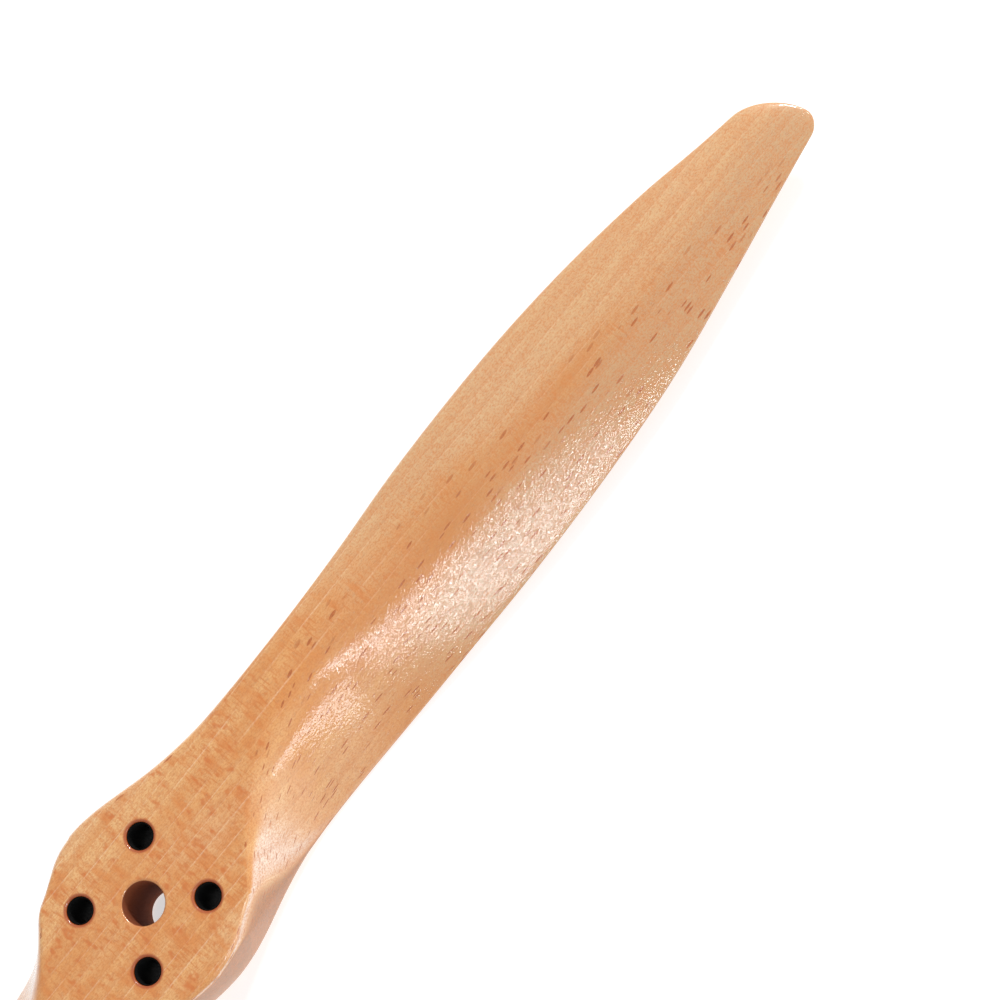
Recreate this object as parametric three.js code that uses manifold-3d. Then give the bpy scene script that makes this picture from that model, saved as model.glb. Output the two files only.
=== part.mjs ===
// A two-blade fixed-pitch wooden propeller for a model aircraft, carved from one blank.
// Millimetres. The spin axis is Z and the rear hub face is z = 0. The front face, which
// the thrust points along, is z = hubHeight. Blade one runs along +X with its leading
// edge on +Y, and blade two is blade one turned half a turn about Z.
import * as THREE from 'three';
import { mergeVertices } from 'three/addons/utils/BufferGeometryUtils.js';
import Module from 'manifold-3d';

// Driving dimensions
const tipRadius = 228.6;
const pitch = 254;
const hubHeight = 20;
const boreRadius = 5;
const boltCircle = 30;
const boltHoleRadius = 3.2;
const linerOuterRadius = 3.15;
const linerInnerRadius = 2.9;
const linerRecess = 0.5;
const lipWidth = 0.8;
const lipDepth = 0.45;

// Hub outline: how far it bulges past the blade root on each side, and over what length
// The hub's sides lean, so its front is wider than its middle by hubFlare and its rear narrower
const hubBulge = 7.2;
const hubBulgeLength = 23;
const hubBulgePower = 1.9;
const hubFlare = 1;

// Blade section
const edgeThickness = 1.2;
const shoulderHeight = 34;
const shoulderLength = 19;
const sectionHeight = 9.3;
const innermostTwistRadius = 8;
const arrisRadius = 1.8;
const softeningStart = 12;
const softenedShare = 0.65;
const landBlend = 2.4;
const landBlendGrowth = 0.05;

// Rounded tip: where the leading and trailing corners start to turn in, how full each
// curve is, and how far across the tip they meet
const leadCornerRadius = 217;
const leadCornerFullness = 0.6;
const trailCornerRadius = 224.8;
const trailCornerFullness = 0.5;
const tipApex = -1.6;

// Fineness of the solid
const roundSides = 32;
const arcSteps = 3;
const flatSteps = 6;
const landMargin = 0.25;
const halvings = 20;

// The blade at chosen radii. lead and trail are the distances of the leading and trailing
// edges from the blade's centreline, arch is the height of the cambered front above the
// chord, and heel is how far the flat rear land reaches from the trailing edge.
const stations = [
  { r: 0, lead: 15.8, trail: 15.8, arch: 1.5, heel: 46.6 },
  { r: 10, lead: 15.8, trail: 15.7, arch: 1.6, heel: 43.6 },
  { r: 20, lead: 15.8, trail: 15.4, arch: 2.6, heel: 34.6 },
  { r: 30, lead: 15.9, trail: 15.3, arch: 3.8, heel: 24.2 },
  { r: 40, lead: 15.9, trail: 15.3, arch: 3.9, heel: 16 },
  { r: 60, lead: 16.0, trail: 15.7, arch: 3.9, heel: 6 },
  { r: 85, lead: 17.2, trail: 16.6, arch: 4.6, heel: 0.6 },
  { r: 110, lead: 19.2, trail: 17.2, arch: 4.7, heel: 0 },
  { r: 140, lead: 19.9, trail: 16.6, arch: 4.2, heel: 0 },
  { r: 165, lead: 18.8, trail: 14.8, arch: 3.5, heel: 0 },
  { r: 190, lead: 15.9, trail: 11.1, arch: 2.8, heel: 0 },
  { r: 210, lead: 12.2, trail: 7.8, arch: 2.2, heel: 0 },
  { r: tipRadius, lead: 9.4, trail: 4.8, arch: 1.6, heel: 0 },
];

// Stretches of the blade and the number of steps in each
const stretches = [
  { from: 0, to: 60, steps: 18 },
  { from: 60, to: 200, steps: 13 },
  { from: 200, to: leadCornerRadius, steps: 2 },
];
const tipSteps = 8;

// Slope of one column of the table at station i.
function columnSlope(key, i) {
  const before = stations[Math.max(i - 1, 0)];
  const after = stations[Math.min(i + 1, stations.length - 1)];
  return (after[key] - before[key]) / (after.r - before.r);
}

// Value of one column of the table at radius r, on a smooth curve through the stations.
function column(key, r) {
  let i = 0;
  while (i < stations.length - 2 && r > stations[i + 1].r) {
    i += 1;
  }
  const span = stations[i + 1].r - stations[i].r;
  const t = (r - stations[i].r) / span;
  const startPull = t * (1 - t) * (1 - t) * span * columnSlope(key, i);
  const endPull = t * t * (t - 1) * span * columnSlope(key, i + 1);
  const blend = t * t * (3 - 2 * t);
  return stations[i][key] * (1 - blend) + stations[i + 1][key] * blend + startPull + endPull;
}

// The smaller of two heights, rounded over where they cross.
function softMin(a, b, width) {
  const overlap = Math.max(width - Math.abs(a - b), 0) / width;
  return Math.min(a, b) - (overlap * overlap * width) / 4;
}

function softMax(a, b, width) {
  return -softMin(-a, -b, width);
}

// Thickness along a flat-bottomed aerofoil, from 0 at the leading edge to 0 at the
// trailing edge, with a top value of 1 at three tenths of the chord.
function aerofoil(s) {
  const height = 0.2969 * Math.sqrt(s) - 0.126 * s - 0.3516 * s ** 2 + 0.2843 * s ** 3 - 0.1036 * s ** 4;
  return 10 * height;
}

// How much of the full width is left where a tip corner turns in.
function cornerShare(r, cornerRadius, fullness) {
  const t = Math.max(r - cornerRadius, 0) / (tipRadius - cornerRadius);
  return Math.max(1 - t * t, 0) ** fullness;
}

// Everything that fixes the cross-section at radius r.
function bladeSection(r) {
  const hubShare = Math.exp(-((r / hubBulgeLength) ** hubBulgePower));
  const bulge = hubBulge * hubShare;
  const twist = pitch / (2 * Math.PI * Math.max(r, innermostTwistRadius));
  const leadNeck = column('lead', r);
  const trailNeck = column('trail', r);
  const leadShare = cornerShare(r, leadCornerRadius, leadCornerFullness);
  const trailShare = cornerShare(r, trailCornerRadius, trailCornerFullness);
  const lead = tipApex + (leadNeck + bulge - tipApex) * leadShare;
  const trailLine = -(trailNeck + bulge);
  const chordRise = (leadNeck + trailNeck) * twist;
  const rearStart = softMax(0, sectionHeight - chordRise / 2, 1);
  const shoulder = shoulderHeight * Math.exp(-((r / shoulderLength) ** 2));
  return {
    lead,
    trail: tipApex + (trailLine - tipApex) * trailShare,
    twist,
    rearStart,
    trailLine,
    edge: edgeThickness + shoulder,
    arch: column('arch', r) * Math.sqrt(1 + twist * twist) * leadShare,
    heel: column('heel', r),
    flare: hubFlare * hubShare,
    softened: softenedShare * (1 - Math.exp(-((r / softeningStart) ** 4))),
    blend: landBlend + landBlendGrowth * r,
  };
}

// Height of the cambered blade at offset y, before the hub's face cuts it off.
function carvedFront(section, y) {
  const along = THREE.MathUtils.clamp((section.lead - y) / (section.lead - section.trail), 0, 1);
  const chord = section.rearStart + (y - section.trailLine) * section.twist;
  return chord + section.edge + section.arch * aerofoil(along);
}

function frontHeight(section, y) {
  return softMin(hubHeight, carvedFront(section, y), section.blend);
}

// Height of the rear face at offset y: the flat pressure face, cut off at the rear face.
function rearHeight(section, y) {
  const heelLine = section.trailLine + section.heel;
  const carved = section.rearStart + (y - heelLine) * section.twist;
  return softMax(0, carved, section.blend);
}

// Radius that rounds the arris at offset y, less where the wood is thin.
function edgeRounding(section, y) {
  return Math.min(arrisRadius, 0.45 * (frontHeight(section, y) - rearHeight(section, y)));
}

// Offset where the front face leaves the hub's flat land, found by halving.
function landEdge(section) {
  let low = section.trail;
  let high = section.lead;
  for (let i = 0; i < halvings; i += 1) {
    const middle = (low + high) / 2;
    if (carvedFront(section, middle) < hubHeight) {
      low = middle;
    } else {
      high = middle;
    }
  }
  return low;
}

// One face of the section from the trailing to the leading edge, with both arrises
// rounded and a point where the land ends. side is 1 for the front, -1 for the rear.
// The front's trailing arris is carved well back away from the hub.
function facePoints(section, height, landOffset, side) {
  const trailRound = edgeRounding(section, section.trail);
  const leadRound = edgeRounding(section, section.lead);
  let trailDrop = trailRound;
  let trail = section.trail + section.flare;
  if (side > 0) {
    const top = height(section, section.trail);
    const thickness = top - rearHeight(section, section.trail);
    trailDrop += section.softened * (thickness - 2 * trailRound);
    trail -= 2 * section.flare * (top - trailDrop) / hubHeight;
  }
  const lead = section.lead + side * section.flare;
  const start = trail + trailRound;
  const end = lead - leadRound;
  const least = THREE.MathUtils.lerp(start, end, landMargin);
  const most = THREE.MathUtils.lerp(end, start, landMargin);
  const split = THREE.MathUtils.clamp(landOffset, least, most);
  const points = [];
  for (let i = 0; i < arcSteps; i += 1) {
    const angle = (i / arcSteps) * (Math.PI / 2);
    const y = trail + trailRound * (1 - Math.cos(angle));
    points.push([y, height(section, y) - side * trailDrop * (1 - Math.sin(angle))]);
  }
  for (let i = 0; i <= flatSteps; i += 1) {
    const y = THREE.MathUtils.lerp(start, split, i / flatSteps);
    points.push([y, height(section, y)]);
  }
  for (let i = 1; i <= flatSteps; i += 1) {
    const y = THREE.MathUtils.lerp(split, end, i / flatSteps);
    points.push([y, height(section, y)]);
  }
  for (let i = arcSteps - 1; i >= 0; i -= 1) {
    const angle = (i / arcSteps) * (Math.PI / 2);
    const y = lead - leadRound * (1 - Math.cos(angle));
    points.push([y, height(section, y) - side * leadRound * (1 - Math.sin(angle))]);
  }
  return points;
}

// The closed outline of the section, counter-clockwise seen from +X.
function sectionRing(r) {
  const section = bladeSection(r);
  const rear = facePoints(section, rearHeight, section.trailLine + section.heel, -1);
  const front = facePoints(section, frontHeight, landEdge(section), 1);
  return rear.concat(front.reverse());
}

// The same outline on blade two, in the same order round the ring.
function turnedRing(ring) {
  const half = ring.length / 2;
  const turned = ring.map(([y, z]) => [-y, z]);
  return turned.slice(0, half).reverse().concat(turned.slice(half).reverse());
}

function stationRadii() {
  const radii = [0];
  for (const stretch of stretches) {
    for (let i = 1; i <= stretch.steps; i += 1) {
      radii.push(THREE.MathUtils.lerp(stretch.from, stretch.to, i / stretch.steps));
    }
  }
  for (let i = 1; i < tipSteps; i += 1) {
    const reach = Math.sin((i / tipSteps) * (Math.PI / 2));
    radii.push(THREE.MathUtils.lerp(leadCornerRadius, tipRadius, reach));
  }
  return radii;
}

// The uncut blank: rings from tip to tip, closed by a point at each tip.
function carvedBlank() {
  const rings = [];
  for (const r of stationRadii()) {
    const ring = sectionRing(r);
    rings.push({ x: r, ring });
    if (r > 0) {
      rings.unshift({ x: -r, ring: turnedRing(ring) });
    }
  }
  const count = rings[0].ring.length;
  const tipHeight = rings[0].ring.reduce((sum, [, z]) => sum + z, 0) / count;
  const positions = [];
  for (const { x, ring } of rings) {
    for (const [y, z] of ring) {
      positions.push(x, y, z);
    }
  }
  const startPoint = rings.length * count;
  positions.push(-tipRadius, 0, tipHeight);
  positions.push(tipRadius, 0, tipHeight);
  const index = [];
  for (let j = 0; j < count; j += 1) {
    const next = (j + 1) % count;
    index.push(startPoint, next, j);
    for (let i = 0; i < rings.length - 1; i += 1) {
      const a = i * count + j;
      const b = i * count + next;
      index.push(a, b, b + count);
      index.push(a, b + count, a + count);
    }
    const lastRing = (rings.length - 1) * count;
    index.push(startPoint + 1, lastRing + j, lastRing + next);
  }
  const geometry = new THREE.BufferGeometry();
  geometry.setAttribute('position', new THREE.Float32BufferAttribute(positions, 3));
  geometry.setIndex(index);
  return geometry;
}

// A round cutter for a hole from face to face whose mouths are rounded over.
function holeCutter(radius, x, y) {
  const wide = radius + lipWidth;
  const profile = [new THREE.Vector2(0, -1), new THREE.Vector2(wide, -1)];
  for (let i = 0; i <= arcSteps; i += 1) {
    const angle = (i / arcSteps) * (Math.PI / 2);
    const inset = lipWidth * (1 - Math.sin(angle));
    profile.push(new THREE.Vector2(radius + inset, lipDepth * (1 - Math.cos(angle))));
  }
  for (let i = arcSteps; i >= 0; i -= 1) {
    const angle = (i / arcSteps) * (Math.PI / 2);
    const inset = lipWidth * (1 - Math.sin(angle));
    profile.push(new THREE.Vector2(radius + inset, hubHeight - lipDepth * (1 - Math.cos(angle))));
  }
  profile.push(new THREE.Vector2(wide, hubHeight + 1), new THREE.Vector2(0, hubHeight + 1));
  const geometry = new THREE.LatheGeometry(profile, roundSides);
  geometry.rotateX(Math.PI / 2);
  geometry.translate(x, y, 0);
  return geometry;
}

function asSolid(wasm, geometry) {
  const bare = geometry.clone();
  bare.deleteAttribute('normal');
  bare.deleteAttribute('uv');
  const merged = mergeVertices(bare, 1e-4);
  const corners = merged.index.array;
  const triangles = [];
  for (let i = 0; i < corners.length; i += 3) {
    const [a, b, c] = corners.slice(i, i + 3);
    if (a !== b && b !== c && c !== a) {
      triangles.push(a, b, c);
    }
  }
  return new wasm.Manifold(
    new wasm.Mesh({
      numProp: 3,
      vertProperties: new Float32Array(merged.attributes.position.array),
      triVerts: new Uint32Array(triangles),
    }),
  );
}

function asGeometry(solid) {
  const mesh = solid.getMesh();
  const geometry = new THREE.BufferGeometry();
  geometry.setAttribute('position', new THREE.Float32BufferAttribute(mesh.vertProperties, 3));
  geometry.setIndex(Array.from(mesh.triVerts));
  geometry.computeVertexNormals();
  return geometry;
}

// The thin black tube that lines one bolt hole.
function linerGeometry() {
  const bottom = linerRecess;
  const top = hubHeight - linerRecess;
  const profile = [
    new THREE.Vector2(linerInnerRadius, bottom),
    new THREE.Vector2(linerOuterRadius, bottom),
    new THREE.Vector2(linerOuterRadius, top),
    new THREE.Vector2(linerInnerRadius, top),
    new THREE.Vector2(linerInnerRadius, bottom),
  ];
  const geometry = new THREE.LatheGeometry(profile, roundSides);
  geometry.rotateX(Math.PI / 2);
  return geometry;
}

// The bolt pattern is a square whose sides lie along and across the blades.
function boltCentres() {
  const centres = [];
  for (let i = 0; i < 4; i += 1) {
    const angle = Math.PI / 4 + (i * Math.PI) / 2;
    centres.push([(boltCircle / 2) * Math.cos(angle), (boltCircle / 2) * Math.sin(angle)]);
  }
  return centres;
}

function propellerBody(wasm) {
  let solid = asSolid(wasm, carvedBlank());
  solid = solid.subtract(asSolid(wasm, holeCutter(boreRadius, 0, 0)));
  for (const [x, y] of boltCentres()) {
    solid = solid.subtract(asSolid(wasm, holeCutter(boltHoleRadius, x, y)));
  }
  const beech = new THREE.MeshStandardMaterial({ color: 0xe0a468, roughness: 0.3, metalness: 0 });
  const mesh = new THREE.Mesh(asGeometry(solid), beech);
  mesh.name = 'propeller_body';
  return mesh;
}

const wasm = await Module();
wasm.setup();

const propeller = new THREE.Group();
propeller.add(propellerBody(wasm));
boltCentres().forEach(([x, y], i) => {
  const black = new THREE.MeshStandardMaterial({ color: 0x181616, roughness: 0.6, metalness: 0 });
  const liner = new THREE.Mesh(linerGeometry(), black);
  liner.name = `bolt_hole_liner_${i + 1}`;
  liner.position.set(x, y, 0);
  propeller.add(liner);
});

export default propeller;
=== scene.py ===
"""The lacquered beech propeller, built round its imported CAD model.

Metres, in the frame of the CAD: Z is the spin axis, z = 0 the rear hub face, +X runs along
blade one and +Y towards its leading edge. The propeller lies on its rear hub face.
"""

import math

import bpy
import numpy as np
from mathutils import Matrix, Vector


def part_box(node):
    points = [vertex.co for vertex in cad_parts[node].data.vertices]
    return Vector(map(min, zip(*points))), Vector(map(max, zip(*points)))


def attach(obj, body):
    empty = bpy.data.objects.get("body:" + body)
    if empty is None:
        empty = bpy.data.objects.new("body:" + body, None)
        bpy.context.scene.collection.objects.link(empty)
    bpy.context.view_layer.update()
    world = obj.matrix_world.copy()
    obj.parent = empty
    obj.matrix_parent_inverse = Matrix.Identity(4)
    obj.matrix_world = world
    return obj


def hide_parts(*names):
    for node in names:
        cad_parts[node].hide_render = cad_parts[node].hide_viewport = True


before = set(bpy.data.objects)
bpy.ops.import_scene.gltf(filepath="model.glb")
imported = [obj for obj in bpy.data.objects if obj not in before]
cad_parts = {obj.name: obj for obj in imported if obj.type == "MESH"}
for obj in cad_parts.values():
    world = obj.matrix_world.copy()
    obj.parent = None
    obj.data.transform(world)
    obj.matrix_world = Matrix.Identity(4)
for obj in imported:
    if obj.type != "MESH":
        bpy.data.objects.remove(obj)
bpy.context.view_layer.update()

MM = 0.001

# The blank's overall size, in millimetres, comes from the frame.
BODY_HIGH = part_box("propeller_body")[1]
TIP_RADIUS = BODY_HIGH.x / MM
HUB_HEIGHT = BODY_HIGH.z / MM
HUB_HALF_WIDTH = BODY_HIGH.y / MM

# Hub holes, in millimetres
BORE_RADIUS = 5.0
BOLT_CIRCLE = 30.0
BOLT_HOLE_RADIUS = 3.2
LINER_OUTER_RADIUS = 3.15
LINER_INNER_RADIUS = 2.9
LINER_RECESS = 0.5
LINER_EASE = 0.08
LIP_WIDTH = 0.8
LIP_DEPTH = 0.45
BOLT_OFFSET = BOLT_CIRCLE / 2 / math.sqrt(2)

# Blade and hub shape, in millimetres
PITCH = 254.0
NECK_HALF_WIDTH = 15.8
HUB_FLARE = 1.0
HUB_BULGE = HUB_HALF_WIDTH - HUB_FLARE - NECK_HALF_WIDTH
HUB_BULGE_LENGTH = 23.0
HUB_BULGE_POWER = 1.9
EDGE_THICKNESS = 1.2
SHOULDER_HEIGHT = 34.0
SHOULDER_LENGTH = 19.0
SECTION_HEIGHT = 9.3
INNERMOST_TWIST_RADIUS = 8.0
ARRIS_RADIUS = 1.8
SOFTENING_START = 12.0
SOFTENED_SHARE = 0.65
LAND_BLEND = 2.4
LAND_BLEND_GROWTH = 0.05
LEAD_CORNER_RADIUS = 217.0
TRAIL_CORNER_RADIUS = 224.8
TIP_APEX = -1.6
LEAD_CORNER_FULLNESS = 0.6
TRAIL_CORNER_FULLNESS = 0.5
HUB_SOFTNESS = 1.0
ARRIS_LIMIT = 0.45

# Radius, leading edge, trailing edge, arch of the front face and reach of the rear land,
# at the stations that a blade's drawing would give.
STATIONS = [
    (0, 15.8, 15.8, 1.5, 46.6),
    (10, 15.8, 15.7, 1.6, 43.6),
    (20, 15.8, 15.4, 2.6, 34.6),
    (30, 15.9, 15.3, 3.8, 24.2),
    (40, 15.9, 15.3, 3.9, 16),
    (60, 16.0, 15.7, 3.9, 6),
    (85, 17.2, 16.6, 4.6, 0.6),
    (110, 19.2, 17.2, 4.7, 0),
    (140, 19.9, 16.6, 4.2, 0),
    (165, 18.8, 14.8, 3.5, 0),
    (190, 15.9, 11.1, 2.8, 0),
    (210, 12.2, 7.8, 2.2, 0),
    (TIP_RADIUS, 9.4, 4.8, 1.6, 0),
]
RADIUS, LEAD, TRAIL, ARCH, HEEL = range(5)

# Fineness of the carved surface
HUB_STEP = 0.75
BLADE_STEP = 1.3
HUB_REACH = 60.0
TIP_STEPS = 22
ARC_STEPS = 6
FLAT_STEPS = 22
LAND_MARGIN = 0.25
HOLE_SIDES = 96
LIP_STEPS = 7
HALVINGS = 24
CUTTER_OVERRUN = 1.0

# Creases of more than this many degrees stay sharp
BODY_SHARP_ANGLE = 35
LINER_SHARP_ANGLE = 60


# ---------------------------------------------------------------- blade sections


def column_slope(key, i):
    before = STATIONS[max(i - 1, 0)]
    after = STATIONS[min(i + 1, len(STATIONS) - 1)]
    return (after[key] - before[key]) / (after[RADIUS] - before[RADIUS])


def column(key, r):
    """One column of the stations at radius r, on a smooth curve."""
    i = 0
    while i < len(STATIONS) - 2 and r > STATIONS[i + 1][RADIUS]:
        i += 1
    start, end = STATIONS[i], STATIONS[i + 1]
    span = end[RADIUS] - start[RADIUS]
    t = (r - start[RADIUS]) / span
    start_pull = t * (1 - t) ** 2 * span * column_slope(key, i)
    end_pull = t * t * (t - 1) * span * column_slope(key, i + 1)
    blend = t * t * (3 - 2 * t)
    return start[key] * (1 - blend) + end[key] * blend + start_pull + end_pull


def soft_min(a, b, width):
    overlap = np.maximum(width - np.abs(a - b), 0) / width
    return np.minimum(a, b) - overlap * overlap * width / 4


def soft_max(a, b, width):
    return -soft_min(-a, -b, width)


def aerofoil(s):
    """Thickness at share s of a flat-bottomed aerofoil, with a top value of 1.

    The numbers are those of the standard four-digit thickness curve.
    """
    return 10 * (0.2969 * np.sqrt(s) - 0.126 * s - 0.3516 * s**2 + 0.2843 * s**3 - 0.1036 * s**4)


def corner_share(r, corner_radius, fullness):
    t = max(r - corner_radius, 0) / (TIP_RADIUS - corner_radius)
    return max(1 - t * t, 0) ** fullness


class Section:
    """The cross-section at radius r."""

    def __init__(self, r):
        hub_share = math.exp(-((r / HUB_BULGE_LENGTH) ** HUB_BULGE_POWER))
        bulge = HUB_BULGE * hub_share
        self.flare = HUB_FLARE * hub_share
        lead_neck = column(LEAD, r)
        trail_neck = column(TRAIL, r)
        share = corner_share(r, LEAD_CORNER_RADIUS, LEAD_CORNER_FULLNESS)
        trail_share = corner_share(r, TRAIL_CORNER_RADIUS, TRAIL_CORNER_FULLNESS)
        self.twist = PITCH / (2 * math.pi * max(r, INNERMOST_TWIST_RADIUS))
        self.lead = TIP_APEX + (lead_neck + bulge - TIP_APEX) * share
        self.trail_line = -(trail_neck + bulge)
        self.trail = TIP_APEX + (self.trail_line - TIP_APEX) * trail_share
        rise = (lead_neck + trail_neck) * self.twist
        self.rear_start = float(soft_max(0, SECTION_HEIGHT - rise / 2, HUB_SOFTNESS))
        self.edge = EDGE_THICKNESS + SHOULDER_HEIGHT * math.exp(-((r / SHOULDER_LENGTH) ** 2))
        self.arch = column(ARCH, r) * math.sqrt(1 + self.twist**2) * share
        self.heel_line = self.trail_line + column(HEEL, r)
        self.softened = SOFTENED_SHARE * (1 - math.exp(-((r / SOFTENING_START) ** 4)))
        self.blend = LAND_BLEND + LAND_BLEND_GROWTH * r

    def carved_front(self, y):
        along = np.clip((self.lead - y) / (self.lead - self.trail), 0, 1)
        chord = self.rear_start + (y - self.trail_line) * self.twist
        return chord + self.edge + self.arch * aerofoil(along)

    def front(self, y):
        return soft_min(HUB_HEIGHT, self.carved_front(y), self.blend)

    def rear(self, y):
        carved = self.rear_start + (y - self.heel_line) * self.twist
        return soft_max(0, carved, self.blend)

    def rounding(self, y):
        return min(ARRIS_RADIUS, ARRIS_LIMIT * float(self.front(y) - self.rear(y)))

    def land_edge(self):
        """Offset where the front leaves the flat land."""
        low, high = self.trail, self.lead
        for _ in range(HALVINGS):
            middle = (low + high) / 2
            if self.carved_front(middle) < HUB_HEIGHT:
                low = middle
            else:
                high = middle
        return low

    def face(self, height, land_offset, side):
        """One face from trailing to leading edge, both arrises rounded."""
        trail_round = self.rounding(self.trail)
        lead_round = self.rounding(self.lead)
        trail_drop = trail_round
        trail = self.trail + self.flare
        if side > 0:
            top = float(self.front(self.trail))
            thickness = top - float(self.rear(self.trail))
            trail_drop += self.softened * (thickness - 2 * trail_round)
            trail -= 2 * self.flare * (top - trail_drop) / HUB_HEIGHT
        lead = self.lead + side * self.flare
        start = trail + trail_round
        end = lead - lead_round
        margin = LAND_MARGIN * (end - start)
        split = min(max(land_offset, start + margin), end - margin)
        angle = np.arange(ARC_STEPS) / ARC_STEPS * math.pi / 2
        y = np.concatenate([
            trail + trail_round * (1 - np.cos(angle)),
            np.linspace(start, split, FLAT_STEPS + 1),
            np.linspace(split, end, FLAT_STEPS + 1)[1:],
            (lead - lead_round * (1 - np.cos(angle)))[::-1],
        ])
        drop = np.concatenate([
            trail_drop * (1 - np.sin(angle)),
            np.zeros(2 * FLAT_STEPS + 1),
            (lead_round * (1 - np.sin(angle)))[::-1],
        ])
        return np.column_stack([y, height(y) - side * drop])

    def ring(self):
        rear = self.face(self.rear, self.heel_line, -1)
        front = self.face(self.front, self.land_edge(), 1)
        return np.vstack([rear, front[::-1]])


def turned(ring):
    """The same outline on blade two, in the same order round the ring."""
    half = len(ring) // 2
    flipped = ring * (-1, 1)
    return np.vstack([flipped[:half][::-1], flipped[half:][::-1]])


def station_radii():
    hub = np.linspace(0, HUB_REACH, round(HUB_REACH / HUB_STEP) + 1)
    blade_length = LEAD_CORNER_RADIUS - HUB_REACH
    blade = np.linspace(HUB_REACH, LEAD_CORNER_RADIUS, round(blade_length / BLADE_STEP) + 1)
    reach = np.sin(np.arange(1, TIP_STEPS) / TIP_STEPS * math.pi / 2)
    tip = LEAD_CORNER_RADIUS + (TIP_RADIUS - LEAD_CORNER_RADIUS) * reach
    return np.concatenate([hub, blade[1:], tip])


def new_object(name, vertices, faces):
    mesh = bpy.data.meshes.new(name)
    mesh.from_pydata(vertices, [], faces)
    mesh.validate()
    obj = bpy.data.objects.new(name, mesh)
    bpy.context.scene.collection.objects.link(obj)
    return obj


def carved_blank():
    rings = []
    for r in station_radii():
        ring = Section(r).ring()
        rings.append((r, ring))
        if r > 0:
            rings.insert(0, (-r, turned(ring)))
    count = len(rings[0][1])
    tip_height = float(rings[0][1][:, 1].mean())
    vertices = [(x * MM, y * MM, z * MM) for x, ring in rings for y, z in ring]
    start_tip = len(vertices)
    vertices.append((-TIP_RADIUS * MM, 0, tip_height * MM))
    vertices.append((TIP_RADIUS * MM, 0, tip_height * MM))
    last = (len(rings) - 1) * count
    faces = []
    for j in range(count):
        after = (j + 1) % count
        faces.append((start_tip, after, j))
        faces.append((start_tip + 1, last + j, last + after))
        for a in range(0, last, count):
            faces.append((a + j, a + after, a + count + after, a + count + j))
    return new_object("beech_propeller", vertices, faces)


# ---------------------------------------------------------------- round pieces


def lathed(profile, centre, closed):
    """Vertices and faces of a profile of (radius, height) turned about the Z axis."""
    vertices = []
    for radius, height in profile:
        for k in range(HOLE_SIDES):
            angle = 2 * math.pi * k / HOLE_SIDES
            x = centre[0] + radius * math.cos(angle)
            y = centre[1] + radius * math.sin(angle)
            vertices.append((x * MM, y * MM, height * MM))
    rows = len(profile)
    faces = []
    for i in range(rows if closed else rows - 1):
        for k in range(HOLE_SIDES):
            after = (k + 1) % HOLE_SIDES
            a, b = i * HOLE_SIDES, (i + 1) % rows * HOLE_SIDES
            faces.append((a + k, a + after, b + after, b + k))
    if not closed:
        faces.append(tuple(reversed(range(HOLE_SIDES))))
        faces.append(tuple((rows - 1) * HOLE_SIDES + k for k in range(HOLE_SIDES)))
    return vertices, faces


def hole_profile(radius):
    """A straight wall with a rounded lip at each mouth, run out past both hub faces."""
    angles = [i / LIP_STEPS * math.pi / 2 for i in range(LIP_STEPS + 1)]
    lip = [(radius + LIP_WIDTH * (1 - math.sin(a)), LIP_DEPTH * (1 - math.cos(a))) for a in angles]
    top = [(r, HUB_HEIGHT - z) for r, z in reversed(lip)]
    wide = radius + LIP_WIDTH
    return [(wide, -CUTTER_OVERRUN)] + lip + top + [(wide, HUB_HEIGHT + CUTTER_OVERRUN)]


def bolt_centres():
    angles = [math.pi / 4 + i * math.pi / 2 for i in range(4)]
    return [(BOLT_CIRCLE / 2 * math.cos(a), BOLT_CIRCLE / 2 * math.sin(a)) for a in angles]


def cut_holes(body):
    vertices, faces = [], []
    holes = [(BORE_RADIUS, (0, 0))] + [(BOLT_HOLE_RADIUS, c) for c in bolt_centres()]
    for radius, centre in holes:
        hole_vertices, hole_faces = lathed(hole_profile(radius), centre, closed=False)
        base = len(vertices)
        vertices += hole_vertices
        faces += [tuple(base + v for v in face) for face in hole_faces]
    cutter = new_object("hole_cutter", vertices, faces)
    cut = body.modifiers.new("holes", "BOOLEAN")
    cut.operation = "DIFFERENCE"
    cut.solver = "EXACT"
    cut.object = cutter
    apply_modifiers(body)
    bpy.data.objects.remove(cutter)


def apply_modifiers(obj):
    depsgraph = bpy.context.evaluated_depsgraph_get()
    mesh = bpy.data.meshes.new_from_object(obj.evaluated_get(depsgraph))
    obj.modifiers.clear()
    obj.data = mesh


def smooth(obj, angle):
    obj.data.shade_smooth()
    obj.data.set_sharp_from_angle(angle=math.radians(angle))


def make_liner(i, centre):
    """A thin black tube with its rims eased."""
    ease = LINER_EASE
    bottom, top = LINER_RECESS, HUB_HEIGHT - LINER_RECESS
    inner, outer = LINER_INNER_RADIUS, LINER_OUTER_RADIUS
    profile = [
        (inner, top - ease),
        (inner, bottom + ease),
        (inner + ease, bottom),
        (outer - ease, bottom),
        (outer, bottom + ease),
        (outer, top - ease),
        (outer - ease, top),
        (inner + ease, top),
    ]
    vertices, faces = lathed(profile, centre, closed=True)
    liner = new_object(f"bolt_liner_{i + 1}", vertices, faces)
    smooth(liner, LINER_SHARP_ANGLE)
    return liner


# ---------------------------------------------------------------- materials

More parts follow.
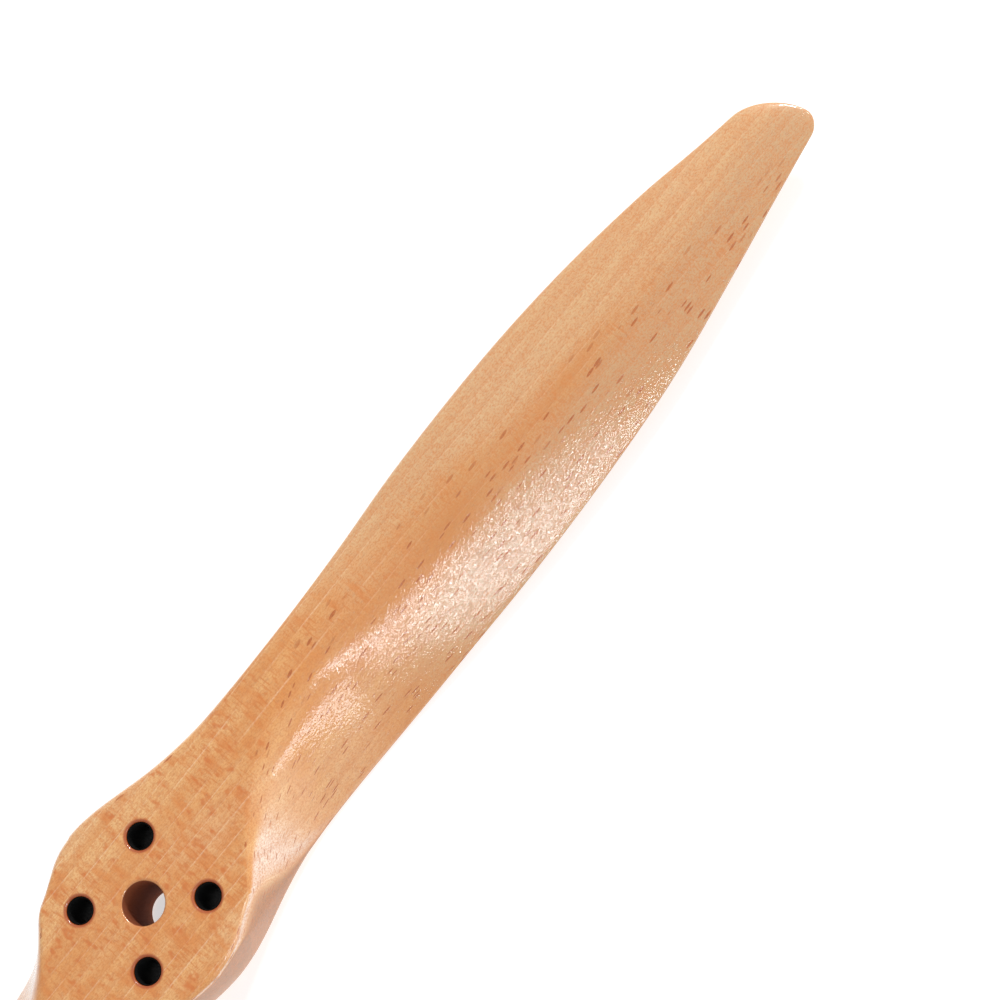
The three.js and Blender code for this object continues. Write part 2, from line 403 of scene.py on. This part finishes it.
# Grain of each pattern in the wood: its size along, across and up, in millimetres
GRAIN = {
    "ring_drift": (150, 60, 40),
    "ring_unevenness": (7, 7, 7),
    "line_break": (12, 2.5, 2.5),
    "ray_wave": (40, 18, 8),
    "ray_ribbon": (7.0, 2.8, 0.54),
    "fleck": (0.5, 2.6, 0.6),
    "fleck_zone": (16, 12, 9),
    "stain_block": (2.8, 11, 6),
    "spot": (1.9, 2.8, 1.5),
    "fibre": (8, 0.38, 0.38),
    "pore": (1.1, 0.13, 0.13),
    "stripe": (90, 6, 6),
    "patch": (40, 18, 18),
    "speck": (0.5, 0.3, 0.3),
    "ripple": (1.6, 1.0, 1.0),
    "lacquer_grain": (0.55, 0.42, 0.42),
}

# Mean width of the growth rings, and how far they wander, in millimetres
RING_WIDTH = 3.6
RING_DRIFT = 6.0
RING_UNEVENNESS = 4.0
RING_LEAN = 0.10
RAY_WAVINESS = 0.8
BLOCK_SHIFT = 3.0

# Where each zone fades in, in millimetres from the axis, along or across the blade
OUTER_BLADE = (70, 115)
MIDDLE_BLADE = (30, 75)
TAIL_START = (60, 100)
HUB_END = (35, 75)
SHOULDER_END = (26, 42)
SAPWOOD_EDGE = (19, 28)
TAIL_EDGE = (9, 16)

# Where two tints meet on a slant: millimetres across the blade for each one along it
SAPWOOD_SLOPE = 0.13
TAIL_SLOPE = 0.075

# How much a surface faces the front, from 0 on the sides to 1 on the hub face
FLAT = (0.86, 0.995)
LEVEL = (0.975, 0.998)
# The next bounds mark the upright sides, which get painted shade and a thinner lacquer
SIDE = (0.05, 0.25)
# Steep slopes between the next two bounds, near the hub, get a painted sheen
STEEP_START = (0.15, 0.40)
STEEP_END = (0.40, 0.60)

# Where the stain round the holes, and the bore's painted shade and bare wood, fade out, in
# millimetres beyond the wall
LIP_STAIN = (0.30, 0.95)
RIM_STAIN = (0.2, 0.8)
WALL_SHADE_AND_BARE = (0.02, 0.12)

WOOD_BUMP_DEPTH = 0.06
LINER_BUMP_DEPTH = 0.03
LINER_GRAIN = (0.4, 0.4, 1.2)

# Screen colours of the wood, and of its painted sheen and shade, 0 to 255
STRAW = (240, 188, 124)
ORANGE = (227, 158, 88)
PALE_PATCH = (244, 204, 160)
CREAM = (232, 196, 148)
AMBER = (206, 124, 34)
GREY_TAN = (212, 176, 132)
WEATHERED = (168, 116, 72)
# Painted sheen: a whitish reflection laid on the steep shoulder beside the hub
SHOULDER_SHEEN = (248, 232, 216)
# Painted shade: darkens the upright sides of hub and blades
SIDE_SHADE = (142, 86, 36)
LATE_BROWN = (204, 128, 70)
FIBRE_BROWN = (202, 130, 74)
BLOCK_ORANGE = (218, 128, 50)
SPOT_ORANGE = (206, 102, 18)
FLECK_RUST = (206, 110, 30)
DASH_BROWN = (172, 82, 8)
PORE_BROWN = (160, 92, 48)
LINE_CREAM = (244, 204, 164)
SPECK_BROWN = (206, 120, 48)
LIP_RED = (168, 70, 4)
RIM_BROWN = (196, 112, 50)
# Painted shade: the bore's wall darkened as if in shadow
BORE_WALL_SHADE = (132, 62, 30)
LINER_BLACK = (6, 6, 6)
LINER_DUST = (22, 21, 20)


class Nodes:
    """Short ways to add nodes to one material."""

    def __init__(self, material):
        material.use_nodes = True
        self.tree = material.node_tree
        self.tree.nodes.clear()

    def add(self, kind, inputs=None, **settings):
        node = self.tree.nodes.new(kind)
        for name, value in settings.items():
            setattr(node, name, value)
        for name, value in (inputs or {}).items():
            self.put(node.inputs[name], value)
        return node

    def put(self, socket, value):
        if isinstance(value, bpy.types.NodeSocket):
            self.tree.links.new(value, socket)
        else:
            socket.default_value = value

    def math(self, operation, a, b=0.0, c=0.0):
        node = self.add("ShaderNodeMath", {0: a, 1: b, 2: c}, operation=operation)
        return node.outputs[0]

    def times(self, a, b):
        return self.math("MULTIPLY", a, b)

    def linear(self, value, slope, start):
        """start + slope * value"""
        return self.math("MULTIPLY_ADD", value, slope, start)

    def inverse(self, value):
        return self.math("SUBTRACT", 1.0, value)

    def magnitude(self, value):
        return self.math("ABSOLUTE", value)

    def vector(self, operation, a, b=(0, 0, 0)):
        node = self.add("ShaderNodeVectorMath", {0: a, 1: b}, operation=operation)
        return node.outputs["Value" if operation == "LENGTH" else 0]

    def joined(self, x, y=0.0, z=0.0):
        return self.add("ShaderNodeCombineXYZ", {0: x, 1: y, 2: z}).outputs[0]

    def parts(self, vector):
        return self.add("ShaderNodeSeparateXYZ", {0: vector}).outputs

    def place(self):
        """The object's own coordinates, in millimetres, and its surface direction."""
        coordinates = self.add("ShaderNodeTexCoord").outputs
        return self.vector("MULTIPLY", coordinates["Object"], (1 / MM,) * 3), coordinates["Normal"]

    def noise(self, place, size, detail=2.0, roughness=0.5):
        """Noise whose grains are about size = (x, y, z) millimetres."""
        scaled = self.vector("MULTIPLY", place, tuple(1 / s for s in size))
        inputs = {"Vector": scaled, "Scale": 1.0, "Detail": detail, "Roughness": roughness}
        return self.add("ShaderNodeTexNoise", inputs).outputs["Fac"]

    def steps(self, value, low, high):
        """0 below low, 1 above high, smooth between."""
        inputs = {"Value": value, "From Min": low, "From Max": high}
        node = self.add("ShaderNodeMapRange", inputs, interpolation_type="SMOOTHSTEP")
        return node.outputs["Result"]

    def roughness(self, value, smoothest, roughest):
        """Roughness that follows the middle of a noise's range."""
        inputs = {"Value": value, "From Min": 0.3, "From Max": 0.7}
        inputs.update({"To Min": smoothest, "To Max": roughest})
        return self.add("ShaderNodeMapRange", inputs).outputs["Result"]

    def mix(self, share, a, b):
        node = self.add("ShaderNodeMix", data_type="RGBA")
        self.put(node.inputs["Factor"], share)
        self.put(node.inputs["A"], a)
        self.put(node.inputs["B"], b)
        return node.outputs["Result"]

    def layered(self, base, layers):
        """Colours laid over a base, each as (where, strength, colour)."""
        for where, strength, tint in layers:
            base = self.mix(self.times(where, strength), base, colour(*tint))
        return base

    def bump(self, height, depth):
        inputs = {"Height": height, "Distance": depth * MM, "Strength": 1.0}
        return self.add("ShaderNodeBump", inputs).outputs["Normal"]

    def surface(self, inputs):
        shader = self.add("ShaderNodeBsdfPrincipled", inputs)
        self.add("ShaderNodeOutputMaterial", {"Surface": shader.outputs["BSDF"]})


def colour(red, green, blue):
    """A colour given in screen values from 0 to 255, as the shader's linear values."""
    linear = []
    for value in (red, green, blue):
        v = value / 255
        linear.append(v / 12.92 if v <= 0.04045 else ((v + 0.055) / 1.055) ** 2.4)
    return (*linear, 1.0)


def ring_pattern(n, place, flat, outer):
    """Growth rings on edge: each darkens slowly, then starts again with a thin pale line."""
    x, y, z = n.parts(place)
    drift = n.noise(place, GRAIN["ring_drift"], detail=1)
    ring_place = n.linear(drift, RING_DRIFT, y)
    ring_place = n.linear(z, RING_LEAN, ring_place)
    uneven = n.noise(n.joined(ring_place), GRAIN["ring_unevenness"], detail=0)
    ring_place = n.linear(uneven, RING_UNEVENNESS, ring_place)
    rings_across = n.times(ring_place, -1 / RING_WIDTH)
    ring = n.math("FRACT", rings_across)
    late_wood = n.math("POWER", ring, 2.0)
    line_break = n.steps(n.noise(place, GRAIN["line_break"]), 0.36, 0.62)
    line = n.times(n.inverse(n.steps(ring, 0.02, 0.11)), line_break)
    line = n.times(line, n.linear(flat, 0.9, 0.1))
    line = n.times(line, n.linear(outer, -0.6, 1.0))

    # Each ring takes the stain differently, in short blocks that line up across the grain
    ring_number = n.math("FLOOR", rings_across)
    shift = n.add("ShaderNodeTexWhiteNoise", {"Vector": n.joined(ring_number)}).outputs["Value"]
    block_place = n.joined(n.linear(shift, BLOCK_SHIFT, x), y, z)
    block = n.steps(n.noise(block_place, GRAIN["stain_block"]), 0.44, 0.72)
    block = n.times(block, n.linear(flat, 0.8, 0.2))
    block = n.times(block, n.linear(outer, -0.6, 1.0))
    return line, late_wood, block


def ray_pattern(n, place, facing, flat, sapwood):
    """Rays are thin flat ribbons: cross flecks on the flat hub, and dashes on the slopes."""
    x, y, z = n.parts(place)
    wavy = n.noise(place, GRAIN["ray_wave"], detail=0)
    ray_place = n.joined(x, y, n.linear(wavy, RAY_WAVINESS, z))
    ribbon_place = n.vector("DIVIDE", ray_place, GRAIN["ray_ribbon"])
    ribbon = n.add("ShaderNodeTexVoronoi", {"Vector": ribbon_place, "Scale": 1.0}).outputs
    dash = n.inverse(n.steps(ribbon["Distance"], 0.17, 0.23))
    chance = n.parts(ribbon["Color"])[0]
    dash = n.times(dash, n.steps(chance, 0.02, 0.30))
    dash = n.times(dash, n.inverse(n.steps(n.magnitude(facing), *LEVEL)))
    dash = n.times(dash, n.inverse(sapwood))
    fleck = n.steps(n.noise(ray_place, GRAIN["fleck"], detail=1), 0.50, 0.68)
    fleck_zone = n.steps(n.noise(place, GRAIN["fleck_zone"], detail=1), 0.40, 0.62)
    fleck = n.times(fleck, n.linear(fleck_zone, 0.75, 0.25))
    fleck = n.times(fleck, n.linear(flat, 0.8, 0.2))
    spot = n.steps(n.noise(ray_place, GRAIN["spot"]), 0.55, 0.74)
    near_hub = n.inverse(n.steps(n.magnitude(x), *HUB_END))
    spot = n.times(spot, n.times(flat, near_hub))
    return dash, fleck, spot


def hole_zones(n, place):
    """The bolt holes' lips, the bore's rim and the bore's wall."""
    folded = n.vector("MULTIPLY", n.vector("ABSOLUTE", place), (1, 1, 0))
    bolt_distance = n.vector("LENGTH", n.vector("SUBTRACT", folded, (BOLT_OFFSET, BOLT_OFFSET, 0)))
    bore_distance = n.vector("LENGTH", n.vector("MULTIPLY", place, (1, 1, 0)))

    def within(distance, radius, stain):
        return n.inverse(n.steps(distance, radius + stain[0], radius + stain[1]))

    lip = within(bolt_distance, BOLT_HOLE_RADIUS, LIP_STAIN)
    rim = within(bore_distance, BORE_RADIUS, RIM_STAIN)
    # The bore's wall: darkened with painted shade, and left without lacquer
    wall = within(bore_distance, BORE_RADIUS, WALL_SHADE_AND_BARE)
    return lip, rim, wall


def beech_material():
    """Clear-lacquered beech: rings on edge along the blade, rays lying flat in the hub face."""
    material = bpy.data.materials.new("lacquered_beech")
    n = Nodes(material)
    place, normal = n.place()
    x, y, _ = n.parts(place)
    facing = n.parts(normal)[2]

    # Zones of the blank
    flat = n.steps(n.magnitude(facing), *FLAT)
    outer = n.steps(x, *OUTER_BLADE)
    sapwood = n.steps(n.linear(x, SAPWOOD_SLOPE, y), *SAPWOOD_EDGE)
    heart = n.linear(sapwood, -0.65, 1.0)
    middle = n.times(n.steps(x, *MIDDLE_BLADE), n.inverse(sapwood))
    tail = n.steps(n.linear(x, TAIL_SLOPE, n.times(y, -1)), *TAIL_EDGE)
    tail = n.times(tail, n.steps(x, *TAIL_START))
    # Painted sheen: steep slopes of the shoulder near the hub are whitened as if they reflected a
    # light
    steep = n.math("SUBTRACT", n.steps(facing, *STEEP_START), n.steps(facing, *STEEP_END))
    shoulder_sheen = n.times(steep, n.inverse(n.steps(n.magnitude(x), *SHOULDER_END)))
    # Upright sides: darkened with painted shade, and given a thinner lacquer
    upright = n.inverse(n.steps(n.magnitude(facing), *SIDE))
    lip, rim, wall = hole_zones(n, place)

    # Patterns
    line, late_wood, block = ring_pattern(n, place, flat, outer)
    dash, fleck, spot = ray_pattern(n, place, facing, flat, sapwood)
    fibre = n.noise(place, GRAIN["fibre"], detail=3, roughness=0.6)
    pore = n.steps(n.noise(place, GRAIN["pore"], detail=1), 0.60, 0.70)
    stripe = n.steps(n.noise(place, GRAIN["stripe"]), 0.36, 0.64)
    patch = n.steps(n.noise(place, GRAIN["patch"]), 0.45, 0.70)
    speck = n.steps(n.noise(place, GRAIN["speck"], detail=1), 0.40, 0.70)

    wood = n.mix(stripe, colour(*STRAW), colour(*ORANGE))
    layers = [
        (patch, 0.45, PALE_PATCH),
        (sapwood, 0.7, CREAM),
        (middle, 0.50, AMBER),
        (tail, 0.8, GREY_TAN),
        (outer, 0.28, WEATHERED),
        # Painted sheen on the steep shoulder
        (shoulder_sheen, 0.85, SHOULDER_SHEEN),
        # Painted shade on the upright sides
        (upright, 0.9, SIDE_SHADE),
        (late_wood, 0.30, LATE_BROWN),
        (n.steps(fibre, 0.40, 0.75), 0.35, FIBRE_BROWN),
        (n.times(block, heart), 0.7, BLOCK_ORANGE),
        (spot, 0.75, SPOT_ORANGE),
        (n.times(fleck, heart), 0.6, FLECK_RUST),
        (dash, 0.95, DASH_BROWN),
        (pore, 0.30, PORE_BROWN),
        (line, 0.50, LINE_CREAM),
        (speck, 0.55, SPECK_BROWN),
        (lip, 0.92, LIP_RED),
        (rim, 0.35, RIM_BROWN),
        # Painted shade in the bore
        (wall, 0.9, BORE_WALL_SHADE),
    ]
    wood = n.layered(wood, layers)

    # Relief: fibres and rays show through a slightly rippled lacquer
    relief = n.linear(fibre, 0.3, n.times(dash, -0.15))
    relief = n.linear(pore, -0.3, relief)
    relief = n.linear(n.noise(place, GRAIN["ripple"], detail=1), 0.5, relief)
    relief = n.linear(n.noise(place, GRAIN["lacquer_grain"], detail=0), 0.40, relief)
    bumped = n.bump(relief, WOOD_BUMP_DEPTH)

    # Lacquer everywhere but in the bore, thinner on the sides and in the lips
    rough = n.math("MAXIMUM", n.roughness(fibre, 0.36, 0.50), n.times(wall, 0.9))
    lacquer = n.linear(wall, -0.9, 1.0)
    lacquer = n.linear(upright, -0.5, lacquer)
    lacquer = n.math("MAXIMUM", n.linear(lip, -0.3, lacquer), 0.0)
    n.surface({
        "Base Color": wood,
        "Roughness": rough,
        "Normal": bumped,
        "IOR": 1.45,
        "Coat Weight": lacquer,
        "Coat Roughness": 0.09,
        "Coat IOR": 1.6,
        "Coat Normal": bumped,
    })
    return material


def liner_material():
    """Matt black, a little worn and dusty."""
    material = bpy.data.materials.new("black_liner")
    n = Nodes(material)
    place, _ = n.place()
    speckle = n.noise(place, LINER_GRAIN, detail=3)
    n.surface({
        "Base Color": n.mix(n.steps(speckle, 0.4, 0.75), colour(*LINER_BLACK), colour(*LINER_DUST)),
        "Roughness": n.roughness(speckle, 0.75, 0.95),
        "Normal": n.bump(speckle, LINER_BUMP_DEPTH),
        "Specular IOR Level": 0.15,
    })
    return material


def floor_material():
    """A pale light table: diffuse, with a little light of its own."""
    material = bpy.data.materials.new("pale_floor")
    Nodes(material).surface({
        "Base Color": (0.6, 0.6, 0.6, 1.0),
        "Roughness": 0.9,
        "Specular IOR Level": 0.0,
        "Emission Color": (1.0, 1.0, 1.0, 1.0),
        "Emission Strength": 0.6,
    })
    return material


# ---------------------------------------------------------------- stage

# The camera: angles in degrees, aim, distance, sensor and lens in millimetres
CAMERA_LEAN_TO_TRAIL = 19.1
CAMERA_LEAN_TO_TIP = 0.8
CAMERA_ROLL = 38.8
CAMERA_AIM = (118.3, 1.0, 0)
CAMERA_DISTANCE = 901
SENSOR_WIDTH = 36
FOCAL_LENGTH = 144.3

# The stage, in metres
VIEW_DEPTH = 20
FLOOR_HALF_SIZE = 4.0
FLOOR_GAP = 0.0001
LIGHT_TARGET = (0.11, 0, 0.01)

WORLD_STRENGTH = 0.625
COOL_TINT = (0.80, 0.93, 1.0)
WHITE = (1, 1, 1)

# Name, position and size in metres, power in watts, roll in degrees and tint of each light
SOFTBOXES = [
    ("key", (0.065, -0.775, 0.745), (0.42, 0.025), 1.2, 52, COOL_TINT),
    ("low", (0.25, -0.97, 0.41), (0.45, 0.12), 1.35, -38, COOL_TINT),
    ("side", (0.42, -1.00, 0.10), (0.5, 0.10), 0.25, 0, WHITE),
    ("end", (1.00, 0.34, 0.68), (0.16, 0.16), 9, 0, WHITE),
]


def make_camera():
    """Looks down on the front face from the trailing side, blade one running up to the right."""
    lean_to_trail = math.radians(CAMERA_LEAN_TO_TRAIL)
    lean_to_tip = math.radians(CAMERA_LEAN_TO_TIP)
    roll = math.radians(CAMERA_ROLL)
    aim = Vector(CAMERA_AIM) * MM
    distance = CAMERA_DISTANCE * MM
    back = Vector((math.tan(lean_to_tip), -math.tan(lean_to_trail), 1)).normalized()
    right = Vector((1, 0, 0)).cross(back).normalized()
    up = back.cross(right)
    turned_right = math.cos(roll) * right + math.sin(roll) * up
    turned_up = -math.sin(roll) * right + math.cos(roll) * up
    data = bpy.data.cameras.new("camera")
    data.sensor_width = SENSOR_WIDTH
    data.lens = FOCAL_LENGTH
    data.clip_end = VIEW_DEPTH
    camera = bpy.data.objects.new("camera", data)
    bpy.context.scene.collection.objects.link(camera)
    turn = Matrix((turned_right, turned_up, back)).transposed().to_4x4()
    camera.matrix_world = Matrix.Translation(aim + back * distance) @ turn
    bpy.context.scene.camera = camera


def make_softbox(name, position, size, power, roll, tint):
    data = bpy.data.lights.new(name, "AREA")
    data.shape = "RECTANGLE"
    data.size, data.size_y = size
    data.energy = power
    data.color = tint
    light = bpy.data.objects.new(name, data)
    bpy.context.scene.collection.objects.link(light)
    direction = Vector(LIGHT_TARGET) - Vector(position)
    turn = direction.to_track_quat("-Z", "Y").to_matrix().to_4x4()
    rolled = turn @ Matrix.Rotation(math.radians(roll), 4, "Z")
    light.matrix_world = Matrix.Translation(position) @ rolled


def make_world():
    world = bpy.data.worlds.new("studio")
    world.use_nodes = True
    background = world.node_tree.nodes["Background"]
    background.inputs["Color"].default_value = (*WHITE, 1)
    background.inputs["Strength"].default_value = WORLD_STRENGTH
    bpy.context.scene.world = world


def make_floor():
    half = FLOOR_HALF_SIZE
    floor = new_object(
        "floor",
        [(-half, -half, 0), (half, -half, 0), (half, half, 0), (-half, half, 0)],
        [(0, 1, 2, 3)],
    )
    floor.location.z = -FLOOR_GAP
    floor.data.materials.append(floor_material())


make_camera()
make_world()
make_floor()
for softbox in SOFTBOXES:
    make_softbox(*softbox)
bpy.context.scene.view_settings.view_transform = "Standard"

body = carved_blank()
cut_holes(body)
smooth(body, BODY_SHARP_ANGLE)
body.data.materials.clear()
body.data.materials.append(beech_material())
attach(body, "root")
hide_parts("propeller_body")

black = liner_material()
for index, centre in enumerate(bolt_centres()):
    liner = make_liner(index, centre)
    liner.data.materials.append(black)
    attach(liner, "root")
    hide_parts(f"bolt_hole_liner_{index + 1}")
